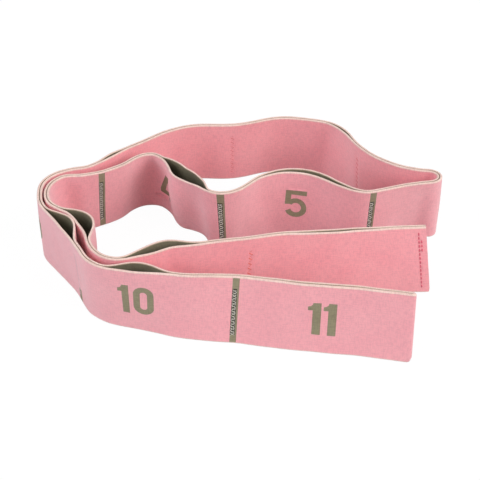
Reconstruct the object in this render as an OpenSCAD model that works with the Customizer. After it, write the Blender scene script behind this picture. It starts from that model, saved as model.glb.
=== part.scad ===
// Stretching strap: one length of elastic webbing folded in half, so that two layers lie
// back to back, and sewn through across its width at even spacing into eleven hand loops.
// The strap stands on its edge in a loose coil. Its route is seen from above, and
// everything is a vertical wall along that route. Loop 11 is at the folded end.

/* [Webbing] */
// Width of the webbing, which is the height of the standing strap
webbing_w = 40; // [25:1:60]
// Thickness of one layer
webbing_t = 1.3; // [1:0.1:1.4]

/* [Loops] */
// Distance between two stitch rows
loop_l = 90; // [86:0.5:91]
// Length of the first and the last loop
end_loop_l = 88; // [85:0.5:89]
// How far the cut ends reach past the end seam
seam_margin = 3; // [2:0.5:4]
// Slack between the layers at the middle of a loop that lies closed, on each side
slack = 0.15; // [0.05:0.05:0.2]

/* [Stitch rows] */
// Half-angle that the sewn layers leave free for the fold at a row, in degrees
pinch_angle = 29; // [20:1:40]
// Clearance around a row that works as a hinge
row_clearance = 0.05; // [0.02:0.01:0.1]
// Radius of the end seam's thread
seam_thread_r = 0.7; // [0.4:0.1:0.7]
// Distance of the end seam's thread from the selvedges
seam_inset = 3; // [0:0.5:6]

/* [Hidden] */
LOOPS = 11;
// The rows that fold in the coil: the outer ones, and the one nearest to the cut ends
FIRST_OUTER_HINGE = 8;
INNER_HINGE = 1;

// Middle of the strap, seen from above, from the folded end to the cut ends
ROUTE = [
  // front pass, outside
  [86, -91], [60, -87], [30, -83.5], [0, -80], [-25, -78], [-44, -74.5], [-60, -71],
  // left bend, outside
  [-71, -66.5], [-78, -60], [-85, -48], [-93, -36], [-102, -23], [-106, -13.5],
  [-105.5, -3], [-100, 5.5], [-92, 10], [-84, 13.5],
  // back pass, outside
  [-76, 20.5], [-66, 32], [-54, 43], [-41, 53], [-26, 58.5], [-10, 59.5], [4, 62],
  [18, 67], [31, 68.5], [44, 66], [55, 60], [61, 50], [67, 38.5], [77, 26.5], [89, 18.5],
  // right bend
  [99, 15], [105, 13.5], [108.5, 9], [106, 4.5], [99, 2.5],
  // back pass, inside
  [88, 0], [77, -4], [66, -6], [55, -2], [45, 4.5], [34, 9], [23, 9.5], [13, 6],
  [3, -1], [-7, -6], [-16, -5.5], [-23, 0.5], [-29, 5], [-34, 9], [-37.5, 15.5],
  [-41.5, 23], [-48, 28.5], [-55, 28], [-62, 24.5], [-68, 19], [-76, 13], [-86, 7.5],
  [-96, 3.5],
  // left bend, inside
  [-101.5, -3], [-103, -11], [-100.5, -18.5], [-95, -23.5], [-89.5, -27], [-84.5, -31.5],
  [-81, -37], [-78.5, -43], [-76.5, -51], [-73.5, -57.5], [-69, -62.3],
  // front pass, inside
  [-61, -64.5], [-48, -61], [-34, -54.3], [-15, -49.8], [10, -46], [35, -43.5],
  [60, -41.5], [80, -39.5], [98, -38.5], [112, -38]
];

// How far each loop stands open, from loop 1 to loop 11: on the numbered side, on the
// plain side, then the middle of the opening from the loop's end that lies nearer to
// loop 11, and half the opening's length
OPENING = [
  [0.4, 0.4, 44, 35], [6, 0, 44, 24], [4.6, 0, 68, 20], [0, 7.5, 26, 21], [0, 2.5, 32, 25],
  [0.3, 0.3, 45, 30], [0.4, 0.4, 70, 15], [2.5, 0, 17, 14], [0, 5, 18, 18],
  [0, 5.9, 49, 22], [0.4, 0.4, 44, 35]
];

SPLINE_STEPS = 12;
RUN_STEPS = 38;

// ---- Route: a smooth curve through the points, measured by its length ----

function mix(a, b, ta, tb, t) = ((tb - t) * a + (t - ta) * b) / (tb - ta);

// Centripetal Catmull-Rom curve between b and c, at the share k of the way
function spline_point(a, b, c, d, k) =
  let (
    tb = sqrt(norm(b - a)),
    tc = tb + sqrt(norm(c - b)),
    td = tc + sqrt(norm(d - c)),
    t = tb + (tc - tb) * k,
    ab = mix(a, b, 0, tb, t),
    bc = mix(b, c, tb, tc, t),
    cd = mix(c, d, tc, td, t),
    abc = mix(ab, bc, 0, tc, t),
    bcd = mix(bc, cd, tb, td, t)
  )
  mix(abc, bcd, tb, tc, t);

function curve(points) =
  let (
    last = len(points) - 1,
    before = 2 * points[0] - points[1],
    after = 2 * points[last] - points[last - 1],
    all = concat([before], points, [after])
  )
  concat(
    [for (i = [1:last]) for (k = [0:SPLINE_STEPS - 1])
      spline_point(all[i - 1], all[i], all[i + 1], all[i + 2], k / SPLINE_STEPS)],
    [points[last]]
  );

PATH = curve(ROUTE);
PATH_S = [
  for (i = 0, s = 0; i < len(PATH);
    i = i + 1, s = s + (i < len(PATH) ? norm(PATH[i] - PATH[i - 1]) : 0)) s
];
PATH_X = [for (i = [0:len(PATH) - 1]) [PATH_S[i], PATH[i].x]];
PATH_Y = [for (i = [0:len(PATH) - 1]) [PATH_S[i], PATH[i].y]];

function place(s) = [lookup(s, PATH_X), lookup(s, PATH_Y)];

function along(s) =
  let (d = place(s + 0.5) - place(max(s - 0.5, 0))) d / norm(d);

// A point beside the route; the numbered side is positive
function beside(s, offset) =
  let (d = along(s)) place(s) + offset * [-d.y, d.x];

// ---- Loops, counted as the numbers on the strap count them ----

function loop_start(n) = n == LOOPS ? 0 : end_loop_l + (LOOPS - 1 - n) * loop_l;
function loop_length(n) = n == LOOPS ? end_loop_l : n == 1 ? end_loop_l + seam_margin : loop_l;

// Distance from the route to a layer's inner face, on the numbered or the plain side
function gap(n, numbered, u) =
  let (
    o = OPENING[n - 1],
    sewn = n == 1 ? end_loop_l : loop_length(n),
    bump = abs(u - o[2]) < o[3] ? (1 + cos(180 * (u - o[2]) / o[3])) / 2 : 0
  )
  (u > sewn ? 0 : slack * sin(180 * u / sewn)) + (numbered ? o[0] : o[1]) * bump;

// Distance to its outer face: full thickness, but pinched towards a stitch row
function outer(n, numbered, u) =
  let (
    from_start = n == LOOPS ? webbing_w : u,
    from_end = n == 1 ? webbing_w : loop_length(n) - u
  )
  min(gap(n, numbered, u) + webbing_t, min(from_start, from_end) * tan(pinch_angle));

PINCH_L = webbing_t / tan(pinch_angle);

function stations(n) =
  let (l = loop_length(n), step = (l - 2 * PINCH_L) / RUN_STEPS)
  concat([0], [for (i = [0:RUN_STEPS]) PINCH_L + i * step], [l]);

function outline(n, numbered) =
  let (
    side = numbered ? 1 : -1,
    u = stations(n),
    last = len(u) - 1,
    s = loop_start(n),
    closed_start = n == LOOPS ? 0 : 1,
    closed_end = n == 1 ? last : last - 1
  )
  concat(
    [for (i = [0:last]) beside(s + u[i], side * outer(n, numbered, u[i]))],
    [for (i = [closed_end:-1:closed_start]) beside(s + u[i], side * gap(n, numbered, u[i]))]
  );

// The coil is centred over the origin
EDGE_POINTS = concat(
  [for (n = [1:LOOPS]) each outline(n, true)],
  [for (n = [1:LOOPS]) each outline(n, false)],
  [place(0) - [0, webbing_t]]
);
EDGE_X = [for (p = EDGE_POINTS) p.x];
EDGE_Y = [for (p = EDGE_POINTS) p.y];
CENTRE = [(min(EDGE_X) + max(EDGE_X)) / 2, (min(EDGE_Y) + max(EDGE_Y)) / 2, 0];

// Row k joins loop k and loop k + 1
function row_place(k) = place(loop_start(k));

// A loop swings around the rows beside it that fold, so it clears their thread
function row_hole_r(n, k) =
  (n > k && k >= FIRST_OUTER_HINGE) || (n <= k && k == INNER_HINGE)
    ? webbing_t + row_clearance : webbing_t;

function two_digits(n) = str(n < 10 ? "0" : "", n);
function run_name(side, n) = str(side, "_run_", two_digits(n));
function row_name(k) = str("stitch_row_", two_digits(k), "_", two_digits(k + 1));

// Upright post of thread, over the whole width or set in from both selvedges
module post(centre, r, inset = 0) {
  translate([centre.x, centre.y, inset] - CENTRE)
    cylinder(r = r, h = webbing_w - 2 * inset, $fn = 48);
}

// The same, running past both selvedges, to cut with
module through_hole(centre, r) {
  post(centre, r, -1);
}

// One layer of one loop
module run(n, numbered) {
  difference() {
    translate(-CENTRE)
      linear_extrude(webbing_w) polygon(outline(n, numbered));
    for (k = [max(n - 1, 1):min(n, LOOPS - 1)])
      through_hole(row_place(k), row_hole_r(n, k));
    if (n == 1)
      post(place(loop_start(1) + end_loop_l), seam_thread_r, seam_inset);
  }
}

module numbered_run(n) {
  color("lightpink") run(n, true);
}

module plain_run(n) {
  color("palevioletred") run(n, false);
}

// The two layers pinched together by their thread, with the woven bar
module stitch_row(k) {
  color("darkkhaki") post(row_place(k), webbing_t);
}

// The folded end, where one layer turns into the other
module end_fold() {
  d = along(0);
  color("lightpink")
    difference() {
      post(place(0), webbing_t);
      translate([place(0).x, place(0).y, -1] - CENTRE)
        rotate([0, 0, atan2(d.y, d.x)])
          translate([0, -webbing_t - 1, 0])
            cube([webbing_t + 1, 2 * webbing_t + 2, webbing_w + 2]);
    }
}

// The row of thread that closes the cut ends
module end_seam() {
  color("crimson") post(place(loop_start(1) + end_loop_l), seam_thread_r, seam_inset);
}

end_fold();
for (n = [1:LOOPS]) {
  numbered_run(n);
  plain_run(n);
}
for (k = [1:LOOPS - 1])
  stitch_row(k);
end_seam();
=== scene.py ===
"""Stretching strap: elastic webbing, folded in half and sewn into numbered loops.

It stands on its edge in a loose coil along the CAD's route, and leans and wanders as worn webbing does.
"""

import math
from collections import namedtuple

import bmesh
import bpy
import numpy as np
from mathutils import Matrix, Vector
from mathutils.geometry import delaunay_2d_cdt

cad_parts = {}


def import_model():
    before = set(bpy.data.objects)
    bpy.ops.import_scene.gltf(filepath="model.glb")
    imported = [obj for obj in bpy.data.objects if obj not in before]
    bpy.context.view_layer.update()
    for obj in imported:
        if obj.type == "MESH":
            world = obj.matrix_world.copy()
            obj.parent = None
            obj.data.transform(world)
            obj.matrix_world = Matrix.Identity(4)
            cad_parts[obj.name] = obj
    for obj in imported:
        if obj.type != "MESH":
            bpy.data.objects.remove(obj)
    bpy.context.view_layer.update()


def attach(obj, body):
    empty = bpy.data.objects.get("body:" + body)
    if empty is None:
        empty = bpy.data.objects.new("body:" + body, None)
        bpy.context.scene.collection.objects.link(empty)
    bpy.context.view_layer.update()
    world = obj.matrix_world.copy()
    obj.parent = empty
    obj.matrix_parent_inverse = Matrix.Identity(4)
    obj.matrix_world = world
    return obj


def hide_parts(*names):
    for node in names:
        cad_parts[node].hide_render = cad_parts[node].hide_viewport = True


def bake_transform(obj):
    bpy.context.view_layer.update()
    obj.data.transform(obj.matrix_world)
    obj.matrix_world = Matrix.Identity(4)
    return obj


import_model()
MM = 0.001

# ---- Driving dimensions, in millimetres, as the CAD source has them ----

WIDTH = 40.0
THICKNESS = 1.3
LOOPS = 11
LOOP_L = 90.0
END_LOOP_L = 88.0
SEAM_MARGIN = 3.0
# The frame's origin, in the route's coordinates: the middle of the coil's outline
CENTRE = (1.10798, -11.16731)

# Middle of the strap, seen from above, from the folded end to the cut ends
ROUTE = [
    # front pass, outside
    (86, -91), (60, -87), (30, -83.5), (0, -80), (-25, -78), (-44, -74.5), (-60, -71),
    # left bend, outside
    (-71, -66.5), (-78, -60), (-85, -48), (-93, -36), (-102, -23), (-106, -13.5),
    (-105.5, -3), (-100, 5.5), (-92, 10), (-84, 13.5),
    # back pass, outside
    (-76, 20.5), (-66, 32), (-54, 43), (-41, 53), (-26, 58.5), (-10, 59.5), (4, 62),
    (18, 67), (31, 68.5), (44, 66), (55, 60), (61, 50), (67, 38.5), (77, 26.5), (89, 18.5),
    # right bend
    (99, 15), (105, 13.5), (108.5, 9), (106, 4.5), (99, 2.5),
    # back pass, inside
    (88, 0), (77, -4), (66, -6), (55, -2), (45, 4.5), (34, 9), (23, 9.5), (13, 6),
    (3, -1), (-7, -6), (-16, -5.5), (-23, 0.5), (-29, 5), (-34, 9), (-37.5, 15.5),
    (-41.5, 23), (-48, 28.5), (-55, 28), (-62, 24.5), (-68, 19), (-76, 13), (-86, 7.5),
    (-96, 3.5),
    # left bend, inside
    (-101.5, -3), (-103, -11), (-100.5, -18.5), (-95, -23.5), (-89.5, -27), (-84.5, -31.5),
    (-81, -37), (-78.5, -43), (-76.5, -51), (-73.5, -57.5), (-69, -62.3),
    # front pass, inside
    (-61, -64.5), (-48, -61), (-34, -54.3), (-15, -49.8), (10, -46), (35, -43.5),
    (60, -41.5), (80, -39.5), (98, -38.5), (112, -38),
]

# How far each loop stands open, from loop 1 to loop 11: on the numbered side, on the plain side,
# then the middle of the opening from the end nearer to loop 11, and half the opening's length
OPENING = [
    (0.4, 0.4, 44, 35), (5.3, 0, 42, 23), (5.3, 1.6, 70, 17), (0, 8.2, 28, 20.5), (0, 2.4, 38, 36),
    (0.04, 0.04, 45, 30), (0.4, 0.4, 70, 15), (1.2, 0, 11, 11), (0, 6.5, 18, 18),
    (0, 5.9, 50, 18), (0.12, 0.1, 44, 35),
]

# The exponent of an opening's shape: loop 4's is flatter along its middle than the others
FLAT = {4: 0.55}

# Slack on each side in the middle of a closed loop, and the gap between sewn layers
SLACK = 0.06
MIN_GAP = 0.03

# How far the standing webbing leans: at each distance along it, how far the bottom edge lies
# from the top edge, towards the numbered side
LEAN = [
    (0, 5.2), (60, 5.4), (88, 5), (118, 2.7), (142, -2), (160, -3), (172, -1.8), (185, -2),
    (208, -1.3), (228, 0.6), (245, -1), (262, 0), (300, 4), (350, 3), (440, 3), (470, 3),
    (486, 2.2), (497, 1.6), (512, -6.4), (532, -3.6), (550, -0.4), (560, 1), (583, 3.2),
    (603, 1.6), (620, -2.6), (634, -3), (648, -8.6), (668, -4.5), (695, -6.3), (715, -4.5),
    (745, 0), (830, 0), (870, -3), (991, -5.2),
]

# The same along the webbing, towards the cut ends: the rows aren't quite upright
SLANT = [
    (0, -1.9), (46, -0.3), (70, 0.6), (88, 1.3), (150, 0), (600, 0), (628, -1.6), (660, 0),
    (850, 0), (898, -3), (991, 5.7),
]

# How far the worn webbing wanders from the route, towards the numbered side
DRIFT = [
    (0, 0.5), (25, 0.2), (60, 0.4), (88, -0.6), (118, -0.1), (142, 0.2), (155, 0.8), (164, 0.8),
    (174, -0.2), (186, 0), (208, 0.3), (222, 1.2), (236, 1.9), (250, 1), (266, 0.3), (295, 0.5),
    (330, -0.2), (355, -1.3), (375, -0.5), (405, -1.6), (420, -0.4), (434, 1.4), (450, 0.6),
    (470, 0.7), (486, 0.2), (497, 1.5), (512, -3.2), (530, -1.6), (546, -0.2), (568, 0),
    (586, -0.1), (610, -0.4), (630, 1.3), (645, -1.4), (662, 0), (688, -0.9), (708, 1.4),
    (728, 0.4), (740, -1.2), (756, -0.6), (780, -0.2), (835, 0), (852, -1.4), (868, -2.6),
    (890, -2), (910, -0.2), (935, -0.6), (965, 0), (991, 0),
]

# How far loop 4 bulges towards the numbered side, which hides most of its number
BULGE = [(646, 0), (658, 2.2), (664, 1.8), (671, -1.4), (680, -1.8), (695, 0)]

# The share of the bulge at each height
BULGE_SHARE = [(0, 0.1), (14, 1), (26, 1), (39, 0), (40, 0)]

# How far each row's bar and thread sit from the even spacing, towards the cut ends
ROW_SHIFT = {10: 1.5, 7: -0.6, 6: -1.0, 5: 2.8, 4: 2.0, 3: 1.6, 1: -1.8}

# Slight unevenness of the webbing: height, wavelengths along it and up over two pi, and phase
RIPPLES = [(0.10, 5.3, 9.0, 0.0), (0.08, 3.1, -6.5, 1.7), (0.12, 11.7, 14.0, 0.6)]

# Where along the strap the two layers turn into each other at the folded end
FOLD_AT = 1.85
# Radius of the folded end's corners, bottom and top, and how far along the strap they act
FOLD_CORNERS = (2.4, 1.0)
FOLD_CORNER_REACH = 8
# The same of the cut ends, bottom only
CUT_CORNER = 1.8
CUT_CORNER_REACH = 4
# How much longer the worn cut ends are than the CAD's
CUT_END_EXTRA = 1.5

# How far a thread presses a layer in, as a share of its thickness, the distance over which it
# does, and the height over which the dent fades at the row's ends
DENT_DEPTH = 0.26
DENT_REACH = 1.1
DENT_FADE = 0.9
# The end seam's dent, as a share of a row's, and its reach
SEAM_DENT = 0.7
SEAM_DENT_REACH = 0.7

# Where each number is centred, from the end of its loop nearer to loop 11
NUMBER_AT = {11: 45.6, 10: 51.7, 9: 47.5, 5: 46.2, 4: 47.7}
# How far each number sits above the middle
NUMBER_UP = {11: 0.4, 10: 1.0, 4: -2.6}
NUMBER_H = 19.5
# Half the width between a digit's strokes, and the stroke, for one of a pair and for a lone digit
PAIR = (2.85, 4.1)
LONE = (4.85, 3.3)
# Share of the height that each of them has
PAIR_TALL = 0.97
LONE_TALL = 0.91
# Distance between the digits of a pair, which stand closer in the 11
DIGIT_STEP = 10.2
ONES_STEP = 7.7
# The 1 of the 10 is narrower than those of the 11
NARROW_ONE = 0.84
# The 0 is wider than the other digits, and its stroke thinner
ZERO_WIDER = 0.75
ZERO_THINNER = 0.7

BAR_W = 3.4
BAR_SHIFT = -0.5
# The bar of row 9|10 has the face's colour, but for its foot
PINK_BAR_ROW = 9
PINK_BAR_FROM = 7.0
# Height of a row's lowest and highest stitch, and of the painted shade, with the needle holes, that shows
# between them
ROW_FROM, ROW_TO = 4.6, 33.6
SHADE_FROM, SHADE_TO = ROW_FROM - 0.6, ROW_TO - 1.6
SHADE_W = 2.5

# ---- Route ----


def spline(points, steps=48):
    """Centripetal Catmull-Rom curve through the points."""
    p = np.array(points, float)
    p = np.vstack([2 * p[0] - p[1], p, 2 * p[-1] - p[-2]])
    out = []
    for i in range(1, len(p) - 2):
        a, b, c, d = p[i - 1 : i + 3]
        tb = math.sqrt(np.linalg.norm(b - a))
        tc = tb + math.sqrt(np.linalg.norm(c - b))
        td = tc + math.sqrt(np.linalg.norm(d - c))
        t = np.linspace(tb, tc, steps, endpoint=False)[:, None]
        ab = ((tb - t) * a + t * b) / tb
        bc = ((tc - t) * b + (t - tb) * c) / (tc - tb)
        cd = ((td - t) * c + (t - tc) * d) / (td - tc)
        abc = ((tc - t) * ab + t * bc) / tc
        bcd = ((td - t) * bc + (t - tb) * cd) / (td - tb)
        out.append(((tc - t) * abc + (t - tb) * bcd) / (tc - tb))
    out.append(p[-2][None])
    return np.vstack(out)


def measured(points):
    return np.concatenate([[0], np.cumsum(np.linalg.norm(np.diff(points, axis=0), axis=1))])


# Distance between the route's points, how far it runs on past both ends, and its smoothing
PATH_STEP = 0.25
PATH_PAD = 20.0
SMOOTH = 1.4


def make_path():
    """The route every quarter millimetre, slightly smoothed, run on straight past both ends."""
    raw = spline(ROUTE)
    s_raw = measured(raw)
    s = np.arange(-PATH_PAD, s_raw[-1] + PATH_PAD, PATH_STEP)
    first = (raw[1] - raw[0]) / np.linalg.norm(raw[1] - raw[0])
    last = (raw[-1] - raw[-2]) / np.linalg.norm(raw[-1] - raw[-2])
    p = np.column_stack([np.interp(s, s_raw, raw[:, k]) for k in (0, 1)])
    p += np.minimum(s, 0)[:, None] * first + np.maximum(s - s_raw[-1], 0)[:, None] * last
    reach = int(4 * SMOOTH / PATH_STEP)
    kernel = np.exp(-0.5 * (np.arange(-reach, reach + 1) * PATH_STEP / SMOOTH) ** 2)
    kernel /= kernel.sum()
    inner = slice(reach, -reach)
    smooth = np.column_stack([np.convolve(p[:, k], kernel, "valid") for k in (0, 1)])
    return s[inner], smooth - np.array(CENTRE)


PATH_S, PATH = make_path()
PATH_D = np.gradient(PATH, axis=0)
PATH_D /= np.linalg.norm(PATH_D, axis=1)[:, None]


def on_path(values, s):
    return np.stack([np.interp(s, PATH_S, values[:, k]) for k in (0, 1)], -1)


def eased(table, s):
    """Value between a table's rows, with a smooth start and stop at each."""
    at = np.array([row[0] for row in table], float)
    value = np.array([row[1] for row in table], float)
    k = np.clip(np.searchsorted(at, s, side="right") - 1, 0, len(at) - 2)
    t = np.clip((s - at[k]) / (at[k + 1] - at[k]), 0, 1)
    return value[k] + (value[k + 1] - value[k]) * t * t * (3 - 2 * t)


# ---- Loops ----


def loop_start(n):
    return 0.0 if n == LOOPS else END_LOOP_L + (LOOPS - 1 - n) * LOOP_L


def loop_length(n):
    return END_LOOP_L + SEAM_MARGIN if n == 1 else END_LOOP_L if n == LOOPS else LOOP_L


# Where the bar and the thread of row k are, between loop k and loop k + 1
ROWS = {k: loop_start(k) + ROW_SHIFT.get(k, 0.0) for k in range(1, LOOPS)}
SEAM_S = loop_start(1) + END_LOOP_L
END_S = SEAM_S + SEAM_MARGIN + CUT_END_EXTRA


def gap(s, side):
    """Distance from the middle to a layer's inner face; side is 1 if numbered, and -1 if plain."""
    s, side = np.broadcast_arrays(np.asarray(s, float), side)
    out = np.full(s.shape, MIN_GAP)
    for n in range(1, LOOPS + 1):
        numbered, plain, middle, half = OPENING[n - 1]
        sewn = END_LOOP_L if n == 1 else loop_length(n)
        u = s - loop_start(n)
        inside = (u >= 0) & (u < sewn)
        t = np.clip((u - middle) / half, -1, 1)
        bump = ((1 + np.cos(np.pi * t)) / 2) ** FLAT.get(n, 1.0)
        slack = SLACK * np.sin(np.pi * np.clip(u / sewn, 0, 1))
        value = slack + np.where(side > 0, numbered, plain) * bump
        out = np.where(inside, MIN_GAP + value, out)
    return out


def dip(s, at, reach):
    """1 at a distance along the strap, falling to 0 on both sides of it."""
    return np.exp(-0.5 * ((s - at) / reach) ** 2)


def row_dent(s, z):
    """How strongly the thread presses a layer down: 1 on a row, 0 a few millimetres away."""
    across = sum(dip(s, at, DENT_REACH) for row, at in ROWS.items() if row != PINK_BAR_ROW)
    across = across + SEAM_DENT * dip(s, SEAM_S, SEAM_DENT_REACH)
    up = 1 / (1 + np.exp(-(z - ROW_FROM) / DENT_FADE)) / (1 + np.exp((z - ROW_TO) / DENT_FADE))
    return across * up


def layer_thickness(s, z):
    return THICKNESS * (1 - DENT_DEPTH * row_dent(s, z))


def ripple(s, z):
    """Height of the unevenness, which both layers share."""
    return sum(size * np.sin(s / along + z / up + phase) for size, along, up, phase in RIPPLES)


def rounded(up, r):
    """How far a rounded corner of radius r cuts back an end at the height up from it."""
    return r - np.sqrt(r * r - np.clip(r - up, 0, r) ** 2)


def place(s, z, offset, turn=0.0, side=1):
    """Point of the webbing: s along it, z up, offset from the middle towards the side.

    At the folded end, turn is the angle gone round the fold, from the numbered to the plain side.
    """
    s, z, offset = np.broadcast_arrays(*(np.asarray(v, float) for v in (s, z, offset)))
    below = 0.5 - z / WIDTH
    near_fold = np.clip(1 - (s - FOLD_AT) / FOLD_CORNER_REACH, 0, 1)
    near_cut = np.clip(1 - (END_S - s) / CUT_CORNER_REACH, 0, 1)
    corner = rounded(z, FOLD_CORNERS[0]) + rounded(WIDTH - z, FOLD_CORNERS[1])
    moved = s + eased(SLANT, s) * below + corner * near_fold - rounded(z, CUT_CORNER) * near_cut
    ahead = on_path(PATH_D, moved)
    ahead = ahead / np.linalg.norm(ahead, axis=-1)[..., None]
    across = np.stack([-ahead[..., 1], ahead[..., 0]], -1)
    bulge = eased(BULGE, s) * eased(BULGE_SHARE, z)
    astray = eased(DRIFT, s) + eased(LEAN, s) * below + bulge + ripple(s, z)
    middle = on_path(PATH, moved) + across * astray[..., None]
    turn, side = np.asarray(turn, float)[..., None], np.asarray(side, float)[..., None]
    out = np.cos(turn) * side * across - np.sin(turn) * ahead
    xy = middle + out * offset[..., None]
    return np.concatenate([xy, z[..., None]], -1) * MM


# ---- Numbers, drawn as bold strokes in millimetres about the digit's middle ----


def arc(cy, rx, ry, start, end, steps=12):
    """Points of an upright ellipse's arc, by angles in degrees, counted anticlockwise."""
    angles = np.radians(np.linspace(start, end, steps + 1))
    return [(rx * math.cos(a), cy + ry * math.sin(a)) for a in angles]


def band_outline(points, width, closed=False):
    """Outline, or outer and inner outline, of a stroke along the points."""
    p = np.array(points, float)
    count = len(p)
    shift = []
    for i in range(count):
        before = p[i] - p[i - 1] if (closed or i > 0) else p[1] - p[0]
        after = p[(i + 1) % count] - p[i] if (closed or i < count - 1) else p[-1] - p[-2]
        a, b = before / np.linalg.norm(before), after / np.linalg.norm(after)
        m = np.array([-a[1] - b[1], a[0] + b[0]])
        shift.append(m / np.dot(m, m) * width)
    left, right = p + shift, p - shift
    if closed:
        return [left.tolist(), right.tolist()]
    return [left.tolist() + right[::-1].tolist()]


def bowl(cy, w, half_h):
    """Closed upright loop of a digit."""
    r = min(w, half_h)
    return arc(cy + half_h - r, w, r, 0, 180)[:-1] + arc(cy - half_h + r, w, r, 180, 360)[:-1]


def digit(c, w, pen):
    """Strokes of a digit, each one or two contours; w is half the width between the strokes."""
    top = NUMBER_H / 2
    h = top - pen / 2
    if c == "0":
        return [band_outline(bowl(0, w + ZERO_WIDER, h), pen - ZERO_THINNER, True)]
    if c == "1":
        flag = [(-3.3, 5.2), (-3.3, 7.4), (-1.9, 7.8), (-1.0, 8.6), (-0.7, top)]
        return [[flag + [(3.3, top), (3.3, -top), (-0.9, -top), (-0.9, 5.2)]]]
    if c == "2":
        over = arc(h - w, w, w, 172, -25) + [(1.0 - w, pen / 2 - top)]
        return [band_outline(over, pen), band_outline([(-w - pen / 2, -h), (w + pen / 2, -h)], pen)]
    if c == "3":
        high = arc(h * 0.54, w * 0.95, h * 0.46, 165, -90) + [(-1.4, h * 0.08)]
        low = [(-1.4, h * 0.08)] + arc(-h * 0.46, w, h * 0.54, 90, -165)
        return [band_outline(high, pen), band_outline(low, pen)]
    if c == "4":
        return [
            band_outline([(w * 0.4, top), (w * 0.4, -top)], pen),
            band_outline([(w * 0.15, top), (-w - 0.2, -4.2)], pen * 0.9),
            band_outline([(-w - 1.5, -4.8), (w + 1.7, -4.8)], pen * 0.9),
        ]
    if c == "5":
        r = h * 0.63
        return [
            band_outline([(w + 1.3, h), (-w + 0.5, h), (-w, -0.3)], pen),
            band_outline(arc(r - h, w, r, 142, -163, 16), pen),
        ]
    if c == "6":
        r = h * 0.6
        back = [(-w, r - h), (-w, h - w)] + arc(h - w, w, w, 180, 15)[1:]
        return [band_outline(bowl(r - h, w, r), pen, True), band_outline(back, pen)]
    if c == "7":
        return [band_outline([(-w - pen / 2, h), (w, h), (-w * 0.35, -top)], pen)]
    if c == "8":
        return [
            band_outline(bowl(h * 0.52, w * 0.93, h * 0.48), pen, True),
            band_outline(bowl(-h * 0.48, w, h * 0.52), pen, True),
        ]
    # The 9 is the 6 turned upside down
    return [[[(-x, -y) for x, y in contour] for contour in stroke] for stroke in digit("6", w, pen)]


def number(n):
    """Strokes of a whole number, centred."""
    text = str(n)
    alone = len(text) == 1
    step = ONES_STEP if text == "11" else DIGIT_STEP
    tall = LONE_TALL if alone else PAIR_TALL
    out = []
    for i, c in enumerate(text):
        x0 = (i - (len(text) - 1) / 2) * step
        narrow = NARROW_ONE if text == "10" and c == "1" else 1.0
        for stroke in digit(c, *(LONE if alone else PAIR)):
            out.append([[(x * narrow + x0, y * tall) for x, y in contour] for contour in stroke])
    return out


def inside(x, y, contour):
    """Points that a contour goes round at least once."""
    turns = np.zeros(x.shape, int)
    c = np.array(contour, float)
    for (x0, y0), (x1, y1) in zip(c, np.roll(c, -1, axis=0)):
        if y0 == y1:
            continue
        crosses = ((y0 > y) != (y1 > y)) & (x < (x1 - x0) * (y - y0) / (y1 - y0) + x0)
        turns += np.where(crosses, 1 if y1 > y0 else -1, 0)
    return turns != 0


def inked(x, y, strokes):
    """Points that lie in any of the strokes."""
    out = np.zeros(x.shape, bool)
    for stroke in strokes:
        stroke_hit = np.zeros(x.shape, bool)
        for contour in stroke:
            stroke_hit ^= inside(x, y, contour)
        out |= stroke_hit
    return out


# ---- Materials ----


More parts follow.
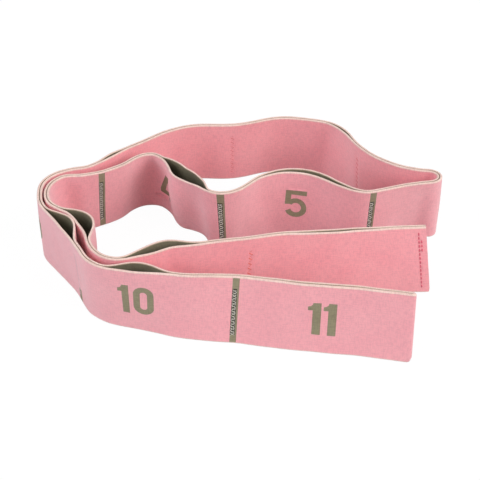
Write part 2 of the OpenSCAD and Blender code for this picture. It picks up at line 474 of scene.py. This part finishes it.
class Nodes:
    """Short way to wire a material's nodes."""

    def __init__(self, name, roughness, sheen, sheen_tint):
        self.material = bpy.data.materials.new(name)
        self.material.use_nodes = True
        self.tree = self.material.node_tree
        self.shader = self.tree.nodes["Principled BSDF"]
        self.shader.inputs["Roughness"].default_value = roughness
        self.shader.inputs["Specular IOR Level"].default_value = 0.4
        self.shader.inputs["Sheen Weight"].default_value = sheen
        self.shader.inputs["Sheen Roughness"].default_value = 0.8
        self.shader.inputs["Sheen Tint"].default_value = sheen_tint

    def link(self, source, target):
        self.tree.links.new(source, target)

    def put(self, socket, value):
        if isinstance(value, (int, float, tuple)):
            socket.default_value = value
        else:
            self.link(value, socket)

    def math(self, operation, a, b=0.0):
        node = self.tree.nodes.new("ShaderNodeMath")
        node.operation = operation
        self.put(node.inputs[0], a)
        self.put(node.inputs[1], b)
        return node.outputs[0]

    def uv(self):
        node = self.tree.nodes.new("ShaderNodeUVMap")
        node.uv_map = "Weave"
        split = self.tree.nodes.new("ShaderNodeSeparateXYZ")
        self.link(node.outputs["UV"], split.inputs[0])
        return node.outputs["UV"], split.outputs[0], split.outputs[1]

    def noise(self, vector, scale, detail=2.0, rough=0.5, stretch=(1.0, 1.0, 1.0)):
        mapping = self.tree.nodes.new("ShaderNodeMapping")
        mapping.inputs["Scale"].default_value = stretch
        self.link(vector, mapping.inputs["Vector"])
        node = self.tree.nodes.new("ShaderNodeTexNoise")
        node.inputs["Scale"].default_value = scale
        node.inputs["Detail"].default_value = detail
        node.inputs["Roughness"].default_value = rough
        self.link(mapping.outputs[0], node.inputs["Vector"])
        return node.outputs[0]

    def ramp(self, value, stops):
        node = self.tree.nodes.new("ShaderNodeValToRGB")
        for k, (at, colour) in enumerate(stops):
            stop = node.color_ramp.elements[k] if k < 2 else node.color_ramp.elements.new(at)
            stop.position = at
            stop.color = (*colour, 1.0)
        self.link(value, node.inputs[0])
        return node.outputs[0]

    def mix(self, share, a, b, blend="MIX"):
        node = self.tree.nodes.new("ShaderNodeMix")
        node.data_type = "RGBA"
        node.blend_type = blend
        self.put(node.inputs[0], share)
        for socket, value in ((node.inputs[6], a), (node.inputs[7], b)):
            is_colour = isinstance(value, tuple) and len(value) == 3
            self.put(socket, (*value, 1.0) if is_colour else value)
        return node.outputs[2]

    def bump(self, height, strength, distance):
        node = self.tree.nodes.new("ShaderNodeBump")
        node.inputs["Strength"].default_value = strength
        node.inputs["Distance"].default_value = distance
        self.link(height, node.inputs["Height"])
        self.link(node.outputs[0], self.shader.inputs["Normal"])


# Pitch of the warp threads along the webbing
WARP_PITCH = 0.58
# Colour factors of the fine dashes that run along and across the webbing
DASH = [(0.40, (0.94, 0.91, 0.93)), (0.54, (1.02, 1.03, 1.03))]
PINKISH, YELLOWISH, NEUTRAL = (1, 0.85, 0.86, 1), (1, 1, 0.95, 1), (1, 1, 1, 1)


def woven(name, light, main, deep, sheen=0.8, tint=PINKISH, rib=0.62):
    """Woven elastic: fine ribs across the webbing, warp threads along it, mottled colour."""
    m = Nodes(name, 0.82, sheen, tint)
    uv, u, v = m.uv()
    ribs = m.math("SINE", m.math("MULTIPLY", u, 2 * math.pi / rib))
    row = m.math("FLOOR", m.math("MULTIPLY", u, 2 / rib))
    swap = m.math("MULTIPLY", m.math("MODULO", row, 2.0), math.pi)
    warp = m.math("SINE", m.math("ADD", m.math("MULTIPLY", v, 2 * math.pi / WARP_PITCH), swap))
    raised = m.math("ADD", m.math("MULTIPLY", warp, 0.5), 0.5)
    threads = m.math("MULTIPLY", m.math("ABSOLUTE", ribs), raised)
    fuzz = m.noise(uv, 2.2, 3.0, 0.6, (1.0, 1.6, 1.0))
    height = m.math("ADD", threads, m.math("MULTIPLY", fuzz, 0.7))
    along = m.ramp(m.noise(uv, 1.0, 1.0, 0.5, (0.3, 1.5, 1.0)), DASH)
    across = m.ramp(m.noise(uv, 1.0, 1.0, 0.5, (1.5, 0.3, 1.0)), DASH)
    dashes = m.mix(1.0, along, across, "MULTIPLY")
    mottle = m.noise(uv, 0.045, 3.0, 0.55, (1.0, 1.6, 1.0))
    streak = m.noise(uv, 0.5, 2.0, 0.5, (0.25, 1.8, 1.0))
    broad = m.ramp(mottle, [(0.34, light), (0.52, main), (0.70, deep)])
    streaked = m.mix(0.28, broad, m.ramp(streak, [(0.3, light), (0.7, deep)]))
    grain = m.ramp(threads, [(0.0, (0.84, 0.82, 0.83)), (0.75, (1.06, 1.06, 1.06))])
    hatched = m.mix(1.0, streaked, dashes, "MULTIPLY")
    m.link(m.mix(0.85, hatched, grain, "MULTIPLY"), m.shader.inputs["Base Color"])
    m.bump(height, strength=0.55, distance=0.00012)
    return m.material


def thread(name, light, dark, sheen=0.1):
    """Twisted sewing thread."""
    m = Nodes(name, 0.6, sheen, NEUTRAL)
    coordinates = m.tree.nodes.new("ShaderNodeTexCoord").outputs["Object"]
    twist = m.noise(coordinates, 1500.0, 2.0, 0.5)
    m.link(m.ramp(twist, [(0.35, dark), (0.65, light)]), m.shader.inputs["Base Color"])
    m.bump(twist, strength=0.5, distance=0.0001)
    return m.material


PINK = woven("numbered_face", (0.925, 0.325, 0.365), (0.915, 0.30, 0.345), (0.895, 0.275, 0.325))
SALMON = woven("plain_face", (0.97, 0.32, 0.355), (0.96, 0.29, 0.33), (0.94, 0.26, 0.305))
OLIVE = woven(
    "number_and_bar", (0.32, 0.295, 0.18), (0.28, 0.255, 0.145), (0.235, 0.21, 0.115), 0.1, YELLOWISH
)
# The inner faces: the olive of the numbers, darkened with painted shade for the hollows inside the loops
SHADED_INNER = woven("inner_face_painted_shade", (0.22, 0.19, 0.11), (0.175, 0.15, 0.085), (0.14, 0.12, 0.07), 0.1, YELLOWISH)
SELVEDGE = woven(
    "selvedge", (0.90, 0.68, 0.60), (0.87, 0.64, 0.55), (0.84, 0.60, 0.51), 0.15, NEUTRAL, 0.9
)
CUT = woven("cut_edge", (0.86, 0.46, 0.44), (0.82, 0.40, 0.38), (0.78, 0.34, 0.33), 0.2)
# Row 9|10's bar above its foot: mauve pink like the face, in place of the olive
PINK_BAR = woven("bar_pink_above_foot", (0.90, 0.34, 0.38), (0.89, 0.31, 0.36), (0.87, 0.285, 0.335))
GROOVE = woven(
    "inner_edge", (0.52, 0.40, 0.29), (0.46, 0.35, 0.24), (0.40, 0.30, 0.20), 0.1, NEUTRAL, 0.9
)
# Painted shade, with the needle holes, that shows between the zigzag's stitches: a near-black copy of the
# woven cloth
SHADE = woven(
    "painted_shade_under_thread", (0.07, 0.065, 0.045), (0.045, 0.04, 0.028), (0.025, 0.022, 0.015), 0.0
)
MATERIALS = [PINK, SALMON, OLIVE, SHADED_INNER, SELVEDGE, CUT, PINK_BAR, GROOVE, SHADE]
PINK_I, SALMON_I, OLIVE_I, SHADED_INNER_I, SELVEDGE_I, CUT_I, PINK_BAR_I, GROOVE_I, SHADE_I = range(9)
ROW_THREAD = thread("row_thread_grey", (0.80, 0.79, 0.70), (0.40, 0.38, 0.30))
PINK_BAR_THREAD = thread("row_thread_pink_bar", (0.74, 0.48, 0.50), (0.60, 0.34, 0.37))
UNDER_THREAD = thread("row_thread_salmon", (0.84, 0.24, 0.25), (0.66, 0.15, 0.16))
CORAL_THREAD = thread("row_thread_coral", (0.86, 0.21, 0.16), (0.62, 0.11, 0.09))
SEAM_THREAD = thread("seam_thread_red", (0.78, 0.13, 0.20), (0.52, 0.05, 0.10))

# ---- Webbing ----

# Radius of the rounded edges, and the width of cream beside them on the outer face
EDGE_R = 0.55
SELVEDGE_W = 0.15
EDGE_STEPS = 8
# The steps of the rounded edge, counted from the inner face, that the selvedge's cream doesn't reach
GROOVE_STEPS = 2
# The faces are divided at evenly spaced heights, from this distance off both edges
FACE_INSET = 3
OUTER_HEIGHTS = 18
INNER_HEIGHTS = 9


def profile():
    """Points round a layer's section: share of the thickness, height, kind of the stretch that follows."""
    low, high = FACE_INSET, WIDTH - FACE_INSET
    faces = [EDGE_R + SELVEDGE_W, *np.linspace(low, high, OUTER_HEIGHTS), WIDTH - EDGE_R - SELVEDGE_W]
    out = [(1.0, EDGE_R, "selvedge")]
    out += [(1.0, z, "outer") for z in faces[:-1]] + [(1.0, faces[-1], "selvedge")]
    for k in range(EDGE_STEPS + 1):
        a = math.pi * k / EDGE_STEPS
        kind = "selvedge" if k < EDGE_STEPS - GROOVE_STEPS else "groove" if k < EDGE_STEPS else "inner"
        out.append((0.5 + 0.5 * math.cos(a), WIDTH - EDGE_R + EDGE_R * math.sin(a), kind))
    out += [(0.0, z, "inner") for z in np.linspace(high, low, INNER_HEIGHTS)]
    for k in range(EDGE_STEPS):
        a = math.pi * k / EDGE_STEPS
        kind = "groove" if k < GROOVE_STEPS else "selvedge"
        out.append((0.5 - 0.5 * math.cos(a), EDGE_R - EDGE_R * math.sin(a), kind))
    return out


PROFILE = profile()
SHARE = np.array([p[0] for p in PROFILE])
HEIGHT = np.array([p[1] for p in PROFILE])
KIND = [p[2] for p in PROFILE]
# Distance round the section to each point
AROUND = np.concatenate([[0], np.cumsum(np.hypot(np.diff(HEIGHT), np.diff(SHARE) * THICKNESS))])

# Sections stand closer together beside a row, up to a distance from it
FINE_REACH = 8
FINE_STEP = 0.5
COARSE_STEP = 1.0
# Closest that a coarse section may come to a fine one, and any section to the one before
COARSE_CLEAR = 0.4
MIN_STEP = 0.12


def stations(low, high):
    """Distances along the webbing where its section is placed: closer together at the rows."""
    keep = [low, high]
    for at in [*ROWS.values(), SEAM_S]:
        keep += list(at + np.arange(-FINE_REACH, FINE_REACH + FINE_STEP / 2, FINE_STEP))
        keep += [at + BAR_SHIFT - BAR_W / 2, at + BAR_SHIFT + BAR_W / 2]
        keep += [at - SHADE_W / 2, at + SHADE_W / 2]
    keep = [s for s in keep if low <= s <= high]
    coarse = np.arange(math.ceil(low), high, COARSE_STEP)
    base = [s for s in coarse if min(abs(s - k) for k in keep) > COARSE_CLEAR]
    out = []
    for s in sorted(set(np.round(keep + base, 4))):
        if not out or s - out[-1] > MIN_STEP or s in (low, high):
            out.append(float(s))
    return out


def surface(s, z, share, turn, side):
    """Point of a layer; share is 0 on its inner face and 1 on its outer face."""
    return place(s, z, gap(s, side) + layer_thickness(s, z) * share, turn, side)


class Sheet:
    """A length of webbing that is being put together."""

    def __init__(self, line):
        self.s = np.array([p[0] for p in line])
        self.side = np.array([p[1] for p in line])
        self.turn = np.array([p[2] for p in line])
        at, side, turn = self.s[:, None], self.side[:, None], self.turn[:, None]
        self.verts = surface(at, HEIGHT[None], SHARE[None], turn, side).reshape(-1, 3).tolist()
        # Distance along the flat webbing, which runs on round the fold
        fold_l = math.pi * (THICKNESS + MIN_GAP)
        round_fold = np.where(self.side > 0, self.turn / math.pi * fold_l, fold_l)
        self.run = self.side * self.s - round_fold
        self.faces, self.uvs, self.materials = [], [], []

    def add(self, face, uv, material):
        self.faces.append(tuple(face))
        self.uvs.append(uv)
        self.materials.append(material)

    def finished(self, name, sharp):
        """The object; the edges of its last faces, so many as sharp says, aren't smoothed."""
        mesh = bpy.data.meshes.new(name)
        mesh.from_pydata(self.verts, [], self.faces)
        layer = mesh.uv_layers.new(name="Weave")
        layer.data.foreach_set("uv", [c for corners in self.uvs for uv in corners for c in uv])
        for material in MATERIALS:
            mesh.materials.append(material)
        mesh.polygons.foreach_set("material_index", self.materials)
        mesh.polygons.foreach_set("use_smooth", [True] * len(self.faces))
        bm = bmesh.new()
        bm.from_mesh(mesh)
        bm.faces.ensure_lookup_table()
        for face in bm.faces[len(self.faces) - sharp :]:
            for edge in face.edges:
                edge.smooth = False
        bmesh.ops.recalc_face_normals(bm, faces=bm.faces)
        bm.to_mesh(mesh)
        bm.free()
        obj = bpy.data.objects.new(name, mesh)
        bpy.context.scene.collection.objects.link(obj)
        return obj


# A number's middle along the webbing and up it, its strokes, and the cells of the sheet that it
# covers: from section i0 to i1, and from point j0 to j1 of each
Patch = namedtuple("Patch", "middle up strokes i0 i1 j0 j1")
# How far a patch reaches past its number, along the webbing and up
PATCH_MARGIN = (1.8, 3.0)


def number_patch(sheet, n, middle):
    """The part of a sheet that a number covers, with a margin round it."""
    strokes = number(n)
    half = max(abs(x) for stroke in strokes for contour in stroke for x, _ in contour)
    reach, rise = half + PATCH_MARGIN[0], NUMBER_H / 2 + PATCH_MARGIN[1]
    flat = (sheet.side > 0) & (sheet.turn == 0)
    i_all = np.flatnonzero(flat & (abs(sheet.s - middle) < reach)).tolist()
    j_all = [j for j, z in enumerate(HEIGHT) if KIND[j] == "outer" and abs(z - WIDTH / 2) < rise]
    up = WIDTH / 2 + NUMBER_UP.get(n, 0.0)
    return Patch(middle, up, strokes, i_all[0], i_all[-1], j_all[0], j_all[-1] + 1)


def bar_at(s):
    """State of the bar on the numbered side: pink above its foot, stitched or plain, and None beside the
    bars.
    """
    for row, at in ROWS.items():
        if abs(s - (at + BAR_SHIFT)) < BAR_W / 2:
            if row == PINK_BAR_ROW:
                return "pink_above_foot"
            return "stitched" if abs(s - at) < SHADE_W / 2 else "plain"
    return None


def face_material(kind, z, numbered, bar):
    """Index of the material of a face at the height z; bar is what bar_at says of its place."""
    if kind != "outer":
        return {"inner": SHADED_INNER_I, "groove": GROOVE_I, "selvedge": SELVEDGE_I}[kind]
    if bar is None:
        return PINK_I if numbered else SALMON_I
    if bar == "pink_above_foot" and z > PINK_BAR_FROM:
        return PINK_BAR_I
    # Painted shade between the zigzag's stitches
    if bar == "stitched" and SHADE_FROM < z < SHADE_TO:
        return SHADE_I
    return OLIVE_I


def add_walls(sheet, patches):
    """All faces between two sections, but for those that a number covers."""
    around = len(PROFILE)
    for i in range(len(sheet.s) - 1):
        numbered = sheet.side[i] > 0
        both = numbered and sheet.side[i + 1] > 0
        bar = bar_at((sheet.s[i] + sheet.s[i + 1]) / 2) if both else None
        u0, u1 = sheet.run[i], sheet.run[i + 1]
        for j in range(around):
            if any(p.i0 <= i < p.i1 and p.j0 <= j < p.j1 for p in patches):
                continue
            k = (j + 1) % around
            v0 = AROUND[j]
            v1 = AROUND[k] if k else AROUND[-1] + EDGE_R
            face = (i * around + j, (i + 1) * around + j, (i + 1) * around + k, i * around + k)
            material = face_material(KIND[j], HEIGHT[j], numbered, bar)
            sheet.add(face, [(u0, v0), (u1, v0), (u1, v1), (u0, v1)], material)


def patch_edges(patch, index):
    """The border of a patch, as pairs of its grid's points."""
    _, _, _, i0, i1, j0, j1 = patch
    edges = []
    for i in range(i0, i1):
        edges += [(index[i, j0], index[i + 1, j0]), (index[i, j1], index[i + 1, j1])]
    for j in range(j0, j1):
        edges += [(index[i0, j], index[i0, j + 1]), (index[i1, j], index[i1, j + 1])]
    return edges


def add_number(sheet, patch):
    """Faces of a patch, divided along the outline of its number."""
    middle, up, strokes, i0, i1, j0, j1 = patch
    grid = [(i, j) for i in range(i0, i1 + 1) for j in range(j0, j1 + 1)]
    flat = [Vector((sheet.s[i], HEIGHT[j])) for i, j in grid]
    edges = patch_edges(patch, {cell: k for k, cell in enumerate(grid)})
    for stroke in strokes:
        for contour in stroke:
            first = len(flat)
            flat += [Vector((middle - x, up + y)) for x, y in contour]
            edges += [(first + k, first + (k + 1) % len(contour)) for k in range(len(contour))]
    found, _, triangles, origin, _, _ = delaunay_2d_cdt(flat, edges, [], 0, 1e-4)
    ids = []
    for point, sources in zip(found, origin):
        on_grid = [k for k in sources if k < len(grid)]
        if on_grid:
            i, j = grid[on_grid[0]]
            ids.append(i * len(PROFILE) + j)
        else:
            ids.append(len(sheet.verts))
            at = surface(np.array(point.x), np.array(point.y), np.array(1.0), 0.0, 1)
            sheet.verts.append(at.tolist())
    centres = np.array([[sum(found[v][a] for v in t) / 3 for a in (0, 1)] for t in triangles])
    ink = inked(middle - centres[:, 0], centres[:, 1] - up, strokes)
    for t, is_ink in zip(triangles, ink):
        uv = [(found[v].x, found[v].y - EDGE_R) for v in t]
        sheet.add((ids[v] for v in t), uv, OLIVE_I if is_ink else PINK_I)


def webbing(name, line, numbers, first_cap, last_cap):
    """A closed length of webbing. The line is a list of (distance, side, turn), in order along it."""
    sheet = Sheet(line)
    patches = [number_patch(sheet, n, middle) for n, middle in numbers]
    add_walls(sheet, patches)
    for patch in patches:
        add_number(sheet, patch)
    around = len(PROFILE)
    for i, material in ((0, first_cap), (len(line) - 1, last_cap)):
        uv = [(sheet.run[i] + SHARE[j] * THICKNESS, HEIGHT[j]) for j in range(around)]
        sheet.add((i * around + j for j in range(around)), uv, material)
    return sheet.finished(name, 2)


# Sections round the folded end
FOLD_STEPS = 12
# Where the lengths of webbing divide: on the still side of the rows that fold, so that each fold
# is within a length
CUTS = [FOLD_AT, 108.0, 205.0, 300.0, 882.0, END_S]
# The rows that fold, each with the body that it folds from, the body that swings, and the
# distance over which the webbing bends
HINGES = {
    10: ("loop_10", "loop_11", 15.0),
    9: ("loop_09", "loop_10", 13.0),
    8: ("root", "loop_09", 12.0),
    1: ("root", "loop_01", 10.0),
}


def bend(obj):
    """Bakes a piece's place into its mesh; the piece, which spans a row, is attached to no body."""
    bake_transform(obj)


def two_digits(n):
    return f"{n:02d}"


def runs(side, loops):
    return [f"{side}_run_{two_digits(n)}" for n in loops]


def number_spots(low, high):
    """The numbers between two distances, each with the distance of its middle."""
    spots = []
    for n in range(1, LOOPS + 1):
        middle = END_LOOP_L / 2 if n in (1, LOOPS) else LOOP_L / 2
        at = loop_start(n) + NUMBER_AT.get(n, middle)
        if low < at < high:
            spots.append((n, at))
    return spots


def finish_webbing(obj, nodes, row):
    """Hides a length's nodes of the CAD, and attaches it to the root body, or bakes its place if it spans
    a row.
    """
    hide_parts(*nodes)
    if row:
        bend(obj)
    else:
        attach(obj, "root")


def build_folded_end():
    """Loop 11 in one piece, from its numbered side round the fold to its plain side."""
    low, high = CUTS[:2]
    both = stations(low, high)
    line = [(s, 1, 0.0) for s in reversed(both)]
    line += [(FOLD_AT, 1, math.pi * k / FOLD_STEPS) for k in range(1, FOLD_STEPS)]
    line += [(s, -1, 0.0) for s in both]
    obj = webbing("webbing_folded_end", line, number_spots(low, high), SHADED_INNER_I, SHADED_INNER_I)
    nodes = ["end_fold", *runs("numbered", [11]), *runs("plain", [11])]
    finish_webbing(obj, nodes, 10)


def build_webbing():
    build_folded_end()
    parts = [
        ("loop_10", [10], 9, SHADED_INNER_I),
        ("loop_09", [9], 8, SHADED_INNER_I),
        ("coil", [8, 7, 6, 5, 4, 3, 2], None, SHADED_INNER_I),
        ("cut_end", [1], 1, CUT_I),
    ]
    for (label, loops, row, last_cap), low, high in zip(parts, CUTS[1:], CUTS[2:]):
        for side, word in ((1, "numbered"), (-1, "plain")):
            line = [(s, side, 0.0) for s in stations(low, high)]
            spots = number_spots(low, high) if side > 0 else []
            obj = webbing(f"webbing_{word}_{label}", line, spots, SHADED_INNER_I, last_cap)
            finish_webbing(obj, runs(word, loops), row)


# ---- Thread ----

ZIGZAG_W = 2.3
ZIGZAG_PITCH = 3.1
# The legs that cross a zigzag start this much higher and end this much lower
CROSS_START, CROSS_END = 0.35, 0.2
# How high the middle of a leg stands, in radii: of a leg, of one that crosses it, and on the
# plain side of a leg that shows and of one that has sunk in
LEG_LIFT, CROSS_LIFT, SHOWN_LIFT, SUNK_LIFT = 0.9, 0.3, 0.5, -0.75

# Radius of the upper thread, of the lower one, and of the lower one at the row where it stands out
THREAD_R = 0.15
LOWER_THREAD_R = 0.18
CORAL_THREAD_R = 0.27
CORAL_ROW = 1
# Share of its lift that a thread has, and that the upper thread of row 9|10 has
PROUD, PINK_BAR_PROUD = 1.0, 0.1

# The end seam's straight stitches: place, distance between them, length, and lowest and highest point
SEAM_SHIFT = 0.4
SEAM_PITCH = 2.45
SEAM_STITCH = 1.75
SEAM_FROM, SEAM_TO = 3.2, WIDTH - 2.2
# The back stitches beside it: count, lowest point, and how far their feet and heads stand off
BACK_STITCHES = 3
BACK_FROM = 25.5
BACK_OFF = (1.4, 1.3)
# How high the middles of both stand, in radii
SEAM_LIFT, BACK_LIFT = 0.35, 0.3
SEAM_THREAD_R = 0.36
SEAM_PROUD = 0.6

# Points along a stitch, and how deep its ends lie in the webbing, in radii
STITCH_POINTS = 9
STITCH_DEPTH = 1.6
# A direction that no stitch runs along
ACROSS_ALL = (0.31, 0.17, 0.93)


def tube(points, radius, sides=8):
    """Vertices and faces of a closed tube along the points."""
    p = np.array(points, float)
    t = np.gradient(p, axis=0)
    t /= np.linalg.norm(t, axis=1)[:, None]
    x = np.cross(t, np.array(ACROSS_ALL))
    x /= np.linalg.norm(x, axis=1)[:, None]
    y = np.cross(t, x)
    a = np.linspace(0, 2 * math.pi, sides, endpoint=False)[None, :, None]
    ring = p[:, None] + radius * (np.cos(a) * x[:, None] + np.sin(a) * y[:, None])
    faces = []
    for i in range(len(p) - 1):
        for j in range(sides):
            k = (j + 1) % sides
            faces.append((i * sides + j, i * sides + k, (i + 1) * sides + k, (i + 1) * sides + j))
    faces.append(tuple(range(sides))[::-1])
    faces.append(tuple((len(p) - 1) * sides + j for j in range(sides)))
    return ring.reshape(-1, 3).tolist(), faces


def stitches(name, legs, radius, side, material, proud):
    """One object of many stitches. A leg is ((s, z), (s, z), lift of its middle)."""
    verts, faces = [], []
    for (s0, z0), (s1, z1), lift in legs:
        k = np.linspace(0, 1, STITCH_POINTS)
        s, z = s0 + (s1 - s0) * k, z0 + (z1 - z0) * k
        over = radius * (-STITCH_DEPTH + (STITCH_DEPTH + proud * lift) * np.sin(np.pi * k) ** 0.5)
        p = place(s, z, gap(s, side) + layer_thickness(s, z) + over, 0.0, side)
        v, f = tube(p, radius * MM)
        faces += [tuple(len(verts) + i for i in face) for face in f]
        verts += v
    mesh = bpy.data.meshes.new(name)
    mesh.from_pydata(verts, [], faces)
    mesh.polygons.foreach_set("use_smooth", [True] * len(faces))
    mesh.materials.append(material)
    obj = bpy.data.objects.new(name, mesh)
    bpy.context.scene.collection.objects.link(obj)
    return obj


def zigzag(at, numbered):
    """Legs of a zigzag row. The numbered side shows crossing legs, the plain side one in two."""
    legs = []
    half = ZIGZAG_PITCH / 2
    left, right = at + ZIGZAG_W / 2, at - ZIGZAG_W / 2
    for k in range(int((ROW_TO - ROW_FROM) / half)):
        z = ROW_FROM + k * half
        a, b = (left, right) if k % 2 == 0 else (right, left)
        if numbered:
            legs.append(((a, z), (b, z + half), LEG_LIFT))
            legs.append(((b, z + CROSS_START), (a, z + half - CROSS_END), CROSS_LIFT))
        else:
            legs.append(((a, z), (b, z + half), SHOWN_LIFT if k % 2 == 0 else SUNK_LIFT))
    return legs


def seam_legs():
    """Straight row of short stitches, with back stitches beside its upper part."""
    legs = []
    at = SEAM_S + SEAM_SHIFT
    z = SEAM_FROM
    while z + SEAM_STITCH < SEAM_TO:
        legs.append(((at, z), (at, z + SEAM_STITCH), SEAM_LIFT))
        z += SEAM_PITCH
    foot, head = (at + off for off in BACK_OFF)
    for k in range(BACK_STITCHES):
        z = BACK_FROM + k * SEAM_PITCH
        legs.append(((foot, z), (head, z + SEAM_STITCH), BACK_LIFT))
    return legs


def row_thread(row, numbered):
    """Radius, material and share of the lift of a row's thread on one side."""
    if numbered and row == PINK_BAR_ROW:
        return THREAD_R, PINK_BAR_THREAD, PINK_BAR_PROUD
    if numbered:
        return THREAD_R, ROW_THREAD, PROUD
    if row == CORAL_ROW:
        return CORAL_THREAD_R, CORAL_THREAD, PROUD
    return LOWER_THREAD_R, UNDER_THREAD, PROUD


def build_threads():
    for row, at in ROWS.items():
        label = f"{two_digits(row)}_{two_digits(row + 1)}"
        for side, word in ((1, "upper"), (-1, "lower")):
            radius, material, proud = row_thread(row, side > 0)
            legs = zigzag(at, side > 0)
            obj = stitches(f"row_{label}_{word}_thread", legs, radius, side, material, proud)
            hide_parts(f"stitch_row_{label}")
            if row in HINGES:
                bend(obj)
            else:
                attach(obj, "root")
    for side, word in ((1, "numbered"), (-1, "plain")):
        name = f"end_seam_{word}_side_thread"
        obj = stitches(name, seam_legs(), SEAM_THREAD_R, side, SEAM_THREAD, SEAM_PROUD)
        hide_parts("end_seam")
        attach(obj, "loop_01")


build_webbing()
build_threads()

# ---- Floor, light and camera ----

# Half the floor's size, and how far it lies below the strap, in metres
FLOOR_HALF = 4.0
FLOOR_DROP = 0.0002
FLOOR_GREY = 0.55
# Share and strength of the white that the camera sees instead, as overexposed paper
WHITE_SHARE = 0.92
WHITE_STRENGTH = 1.05

WORLD_STRENGTH = 0.385
# Square lights: name, place in metres, size in metres, power in watts, colour
LIGHTS = [
    ("key", (2.20, -1.05, 1.60), 2.0, 66, (1.0, 0.96, 0.95)),
    ("side", (-2.10, -0.90, 1.24), 1.6, 36, (0.94, 0.95, 1.0)),
    ("front", (0, -2.20, 1.90), 1.2, 6, (1, 1, 1)),
    ("back", (0.1, 1.0, 0.8), 0.8, 1.6, (1, 1, 1)),
]
LIT_POINT = (0, 0, 0.02)

# The photograph's camera: degrees it looks down, degrees it is rolled, distance in metres, the
# point in millimetres on the floor that it looks at, focal length and sensor in millimetres
PITCH, ROLL = 39, 0.7
DISTANCE = 0.620
LOOKED_AT = (-1.108, 11.167, 0)
LENS, SENSOR = 82.5, 36


def floor():
    """Pale paper, which is grey to the light that it throws back and white to the camera."""
    r = FLOOR_HALF
    mesh = bpy.data.meshes.new("floor")
    mesh.from_pydata([(-r, -r, 0), (r, -r, 0), (r, r, 0), (-r, r, 0)], [], [(0, 1, 2, 3)])
    obj = bpy.data.objects.new("floor", mesh)
    bpy.context.scene.collection.objects.link(obj)
    obj.location.z = -FLOOR_DROP
    m = Nodes("floor_paper", 0.9, 0.0, NEUTRAL)
    m.shader.inputs["Base Color"].default_value = (FLOOR_GREY, FLOOR_GREY, FLOOR_GREY, 1)
    m.shader.inputs["Specular IOR Level"].default_value = 0.0
    white = m.tree.nodes.new("ShaderNodeEmission")
    white.inputs["Strength"].default_value = WHITE_STRENGTH
    seen = m.tree.nodes.new("ShaderNodeLightPath").outputs["Is Camera Ray"]
    both = m.tree.nodes.new("ShaderNodeMixShader")
    m.link(m.math("MULTIPLY", seen, WHITE_SHARE), both.inputs[0])
    m.link(m.shader.outputs[0], both.inputs[1])
    m.link(white.outputs[0], both.inputs[2])
    m.link(both.outputs[0], m.tree.nodes["Material Output"].inputs["Surface"])
    mesh.materials.append(m.material)


def area_light(name, place_at, size, power, colour):
    light = bpy.data.lights.new(name, "AREA")
    light.shape = "SQUARE"
    light.size = size
    light.energy = power
    light.color = colour
    obj = bpy.data.objects.new(name, light)
    obj.location = place_at
    obj.rotation_mode = "QUATERNION"
    obj.rotation_quaternion = (Vector(LIT_POINT) - Vector(place_at)).to_track_quat("-Z", "Y")
    bpy.context.scene.collection.objects.link(obj)


def world():
    w = bpy.data.worlds.new("studio")
    w.use_nodes = True
    background = w.node_tree.nodes["Background"]
    background.inputs["Color"].default_value = NEUTRAL
    background.inputs["Strength"].default_value = WORLD_STRENGTH
    bpy.context.scene.world = w


def camera():
    pitch, roll = math.radians(PITCH), math.radians(ROLL)
    target = Vector(LOOKED_AT) * MM
    forward = Vector((0, math.cos(pitch), -math.sin(pitch)))
    data = bpy.data.cameras.new("camera")
    data.lens = LENS
    data.sensor_width = SENSOR
    obj = bpy.data.objects.new("camera", data)
    right = Vector((1, 0, 0))
    up = right.cross(forward)
    turned_right = math.cos(roll) * right + math.sin(roll) * up
    turned_up = -math.sin(roll) * right + math.cos(roll) * up
    axes = Matrix((turned_right, turned_up, -forward)).transposed()
    obj.matrix_world = Matrix.Translation(target - DISTANCE * forward) @ axes.to_4x4()
    bpy.context.scene.collection.objects.link(obj)
    bpy.context.scene.camera = obj


floor()
world()
for settings in LIGHTS:
    area_light(*settings)
camera()
bpy.context.scene.view_settings.view_transform = "Standard"
